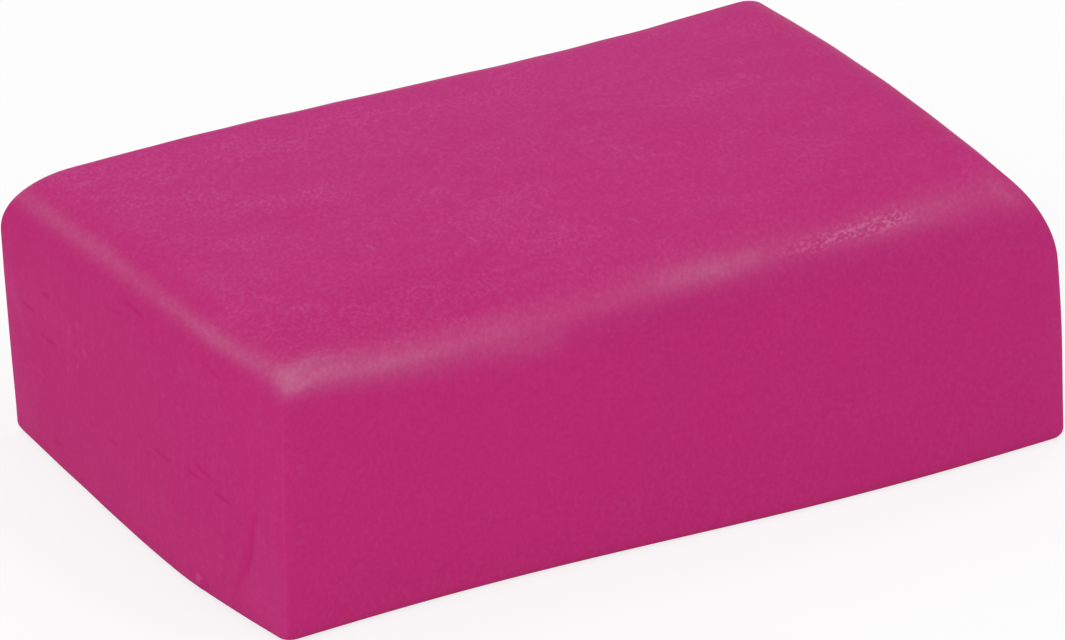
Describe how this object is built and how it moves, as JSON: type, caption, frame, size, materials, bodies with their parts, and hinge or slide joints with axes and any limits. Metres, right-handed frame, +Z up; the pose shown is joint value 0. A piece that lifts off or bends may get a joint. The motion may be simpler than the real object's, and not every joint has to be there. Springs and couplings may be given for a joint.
{
  "type": "kneaded eraser",
  "caption": "Soft rectangular block of kneadable putty rubber with a flat base, softly pillowed top and uneven hand-cut walls, pulled and pressed to lift pencil or charcoal from paper.",
  "frame": {"origin": "centre of the outer box, on the flat base that the block lies on", "axes": "+X along the block's length, towards the end with the widest shoulder; +Y from the front wall to the back wall; +Z up, through the thickness"},
  "size_m": [0.043, 0.028, 0.0141],
  "materials": {
    "putty_rubber": "matte, with a faint waxy sheen on the rounded edges and a pale dusting on the top"
  },
  "bodies": {
    "root": {"eraser_block": "putty_rubber"}
  },
  "joints": []
}
